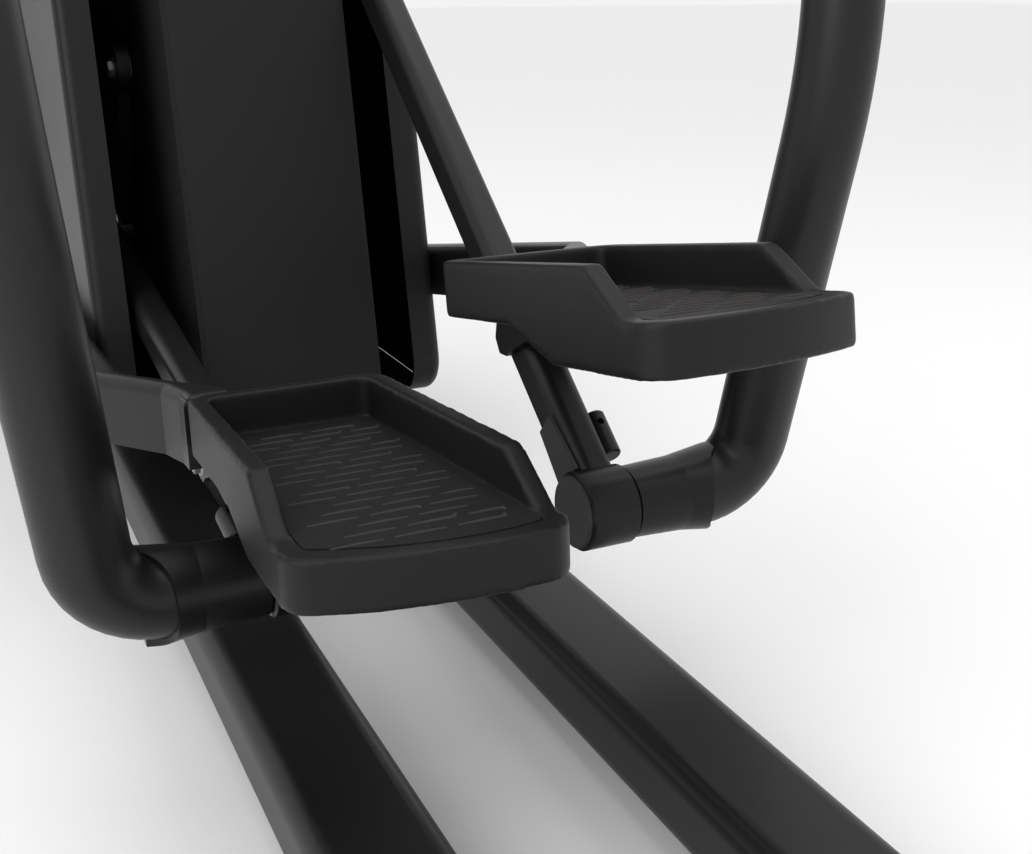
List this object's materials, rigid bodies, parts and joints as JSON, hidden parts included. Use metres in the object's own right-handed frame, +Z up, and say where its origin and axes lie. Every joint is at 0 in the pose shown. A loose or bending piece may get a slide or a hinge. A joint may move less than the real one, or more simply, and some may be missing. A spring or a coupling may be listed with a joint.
{
  "type": "elliptical trainer",
  "caption": "Elliptical trainer with pedal carriages on rods from a front crank, J-shaped swing arms with moving handles, a central casing and twin base rails.",
  "frame": {"origin": "on the floor, in the machine's middle plane, half way along it", "axes": "+Y forward to the crank casing, +X to the user's right, +Z up"},
  "size_m": [0.76, 1.88, 1.6692],
  "materials": {
    "frame_paint": "satin black powder coat",
    "casing_textured": "fine leather-like moulded texture",
    "casing_smooth": "smooth satin moulding",
    "pedal_plastic": "satin moulded plastic",
    "tread_rubber": "ribbed non-slip rubber",
    "hub_plastic": "soft gloss cover",
    "cap_plastic": "dark grey end cap",
    "black_rubber": "black rubber",
    "wheel_rubber": "solid rubber wheel",
    "bright_steel": "turned steel",
    "cast_wheel": "cast and turned flywheel",
    "alloy": "die-cast alloy",
    "bronze": "sintered bronze bush",
    "belt_rubber": "ribbed drive belt",
    "grip_foam": "soft moulded grip",
    "screen_glass": "dark screen pane"
  },
  "bodies": {
    "frame": {"rails": "frame_paint", "rear_cross_foot": "frame_paint", "front_cross_foot": "frame_paint", "foot_end_caps": "black_rubber", "levelling_feet": "black_rubber", "wheel_axles": "bright_steel", "base_crossmember": "frame_paint", "mast": "frame_paint", "swing_axle": "bright_steel", "pivot_bushes": "bronze", "console_bracket": "frame_paint", "console_housing": "casing_smooth", "console_screen": "screen_glass", "fixed_handlebar": "frame_paint", "fixed_grips": "grip_foam", "central_casing": "casing_textured", "rear_panel": "casing_smooth", "left_side_shell": "casing_smooth", "right_side_shell": "casing_smooth", "drive_frame": "frame_paint", "crank_bearings": "bright_steel", "drive_belt": "belt_rubber", "flywheel_axle": "bright_steel", "brake_magnet": "frame_paint", "rocker_axles": "frame_paint"},
    "crank": {"crank_axle": "bright_steel", "left_crank_arm": "frame_paint", "right_crank_arm": "frame_paint", "drive_pulley": "alloy"},
    "flywheel": {"flywheel": "cast_wheel"},
    "right_arm": {"right_swing_arm": "frame_paint", "right_upper_handle": "frame_paint", "right_handle_grip": "grip_foam", "right_swing_sleeve": "hub_plastic"},
    "right_rod": {"right_rod_tube": "frame_paint", "right_hub_collar": "hub_plastic", "right_hub_cap": "cap_plastic", "right_rod_gusset": "cap_plastic", "right_rod_end_bearing": "bright_steel"},
    "right_carriage": {"right_pedal_carriage": "frame_paint", "right_pedal_shell": "pedal_plastic", "right_tread_mat": "tread_rubber", "right_foot_beam": "frame_paint"},
    "right_rocker": {"right_rocker_link": "frame_paint"},
    "right_wheel": {"right_transport_wheel": "wheel_rubber"},
    "left_arm": {"left_swing_arm": "frame_paint", "left_upper_handle": "frame_paint", "left_handle_grip": "grip_foam", "left_swing_sleeve": "hub_plastic"},
    "left_rod": {"left_rod_tube": "frame_paint", "left_hub_collar": "hub_plastic", "left_hub_cap": "cap_plastic", "left_rod_gusset": "cap_plastic", "left_rod_end_bearing": "bright_steel"},
    "left_carriage": {"left_pedal_carriage": "frame_paint", "left_pedal_shell": "pedal_plastic", "left_tread_mat": "tread_rubber", "left_foot_beam": "frame_paint"},
    "left_rocker": {"left_rocker_link": "frame_paint"},
    "left_wheel": {"left_transport_wheel": "wheel_rubber"}
  },
  "joints": [
    {"name": "crank_spin", "type": "hinge", "parent": "frame", "child": "crank", "pos_m": [0, 0.40181, 0.57199], "axis": [1, 0, 0], "continuous": true},
    {"name": "flywheel_spin", "type": "hinge", "parent": "frame", "child": "flywheel", "pos_m": [0, 0.705, 0.33], "axis": [1, 0, 0], "continuous": true},
    {"name": "right_swing", "type": "hinge", "parent": "frame", "child": "right_arm", "pos_m": [0.346, 0, 1.24], "axis": [1, 0, 0], "range_deg": [-14, 14]},
    {"name": "right_rod_turn", "type": "hinge", "parent": "right_arm", "child": "right_rod", "pos_m": [0.142, -0.395, 0.228], "axis": [1, 0, 0], "range_deg": [-31, 0]},
    {"name": "right_pedal_tilt", "type": "hinge", "parent": "right_rod", "child": "right_carriage", "pos_m": [0.145, -0.24282, 0.34992], "axis": [1, 0, 0], "range_deg": [0, 37]},
    {"name": "right_rocker_swing", "type": "hinge", "parent": "frame", "child": "right_rocker", "pos_m": [0.273, 0.7215, 0.68], "axis": [1, 0, 0], "range_deg": [-28, 28]},
    {"name": "right_wheel_spin", "type": "hinge", "parent": "frame", "child": "right_wheel", "pos_m": [0.18, 0.908, 0.046], "axis": [1, 0, 0], "continuous": true},
    {"name": "left_swing", "type": "hinge", "parent": "frame", "child": "left_arm", "pos_m": [-0.346, 0, 1.24], "axis": [1, 0, 0], "range_deg": [-14, 14]},
    {"name": "left_rod_turn", "type": "hinge", "parent": "left_arm", "child": "left_rod", "pos_m": [-0.142, -0.395, 0.228], "axis": [1, 0, 0], "range_deg": [0, 31]},
    {"name": "left_pedal_tilt", "type": "hinge", "parent": "left_rod", "child": "left_carriage", "pos_m": [-0.145, -0.2019, 0.25514], "axis": [1, 0, 0], "range_deg": [-37, 0]},
    {"name": "left_rocker_swing", "type": "hinge", "parent": "frame", "child": "left_rocker", "pos_m": [-0.273, 0.7215, 0.68], "axis": [1, 0, 0], "range_deg": [-28, 28]},
    {"name": "left_wheel_spin", "type": "hinge", "parent": "frame", "child": "left_wheel", "pos_m": [-0.18, 0.908, 0.046], "axis": [1, 0, 0], "continuous": true}
  ],
  "couplings": [
    {"joint": "flywheel_spin", "follows": "crank_spin", "ratio": 5.6667},
    {"joint": "left_swing", "follows": "right_swing", "ratio": -1},
    {"joint": "left_rod_turn", "follows": "right_rod_turn", "ratio": -1},
    {"joint": "right_pedal_tilt", "follows": "right_rod_turn", "ratio": -1.19},
    {"joint": "left_pedal_tilt", "follows": "right_rod_turn", "ratio": 1.19},
    {"joint": "right_rocker_swing", "follows": "right_swing", "ratio": 2},
    {"joint": "left_rocker_swing", "follows": "right_swing", "ratio": -2}
  ]
}
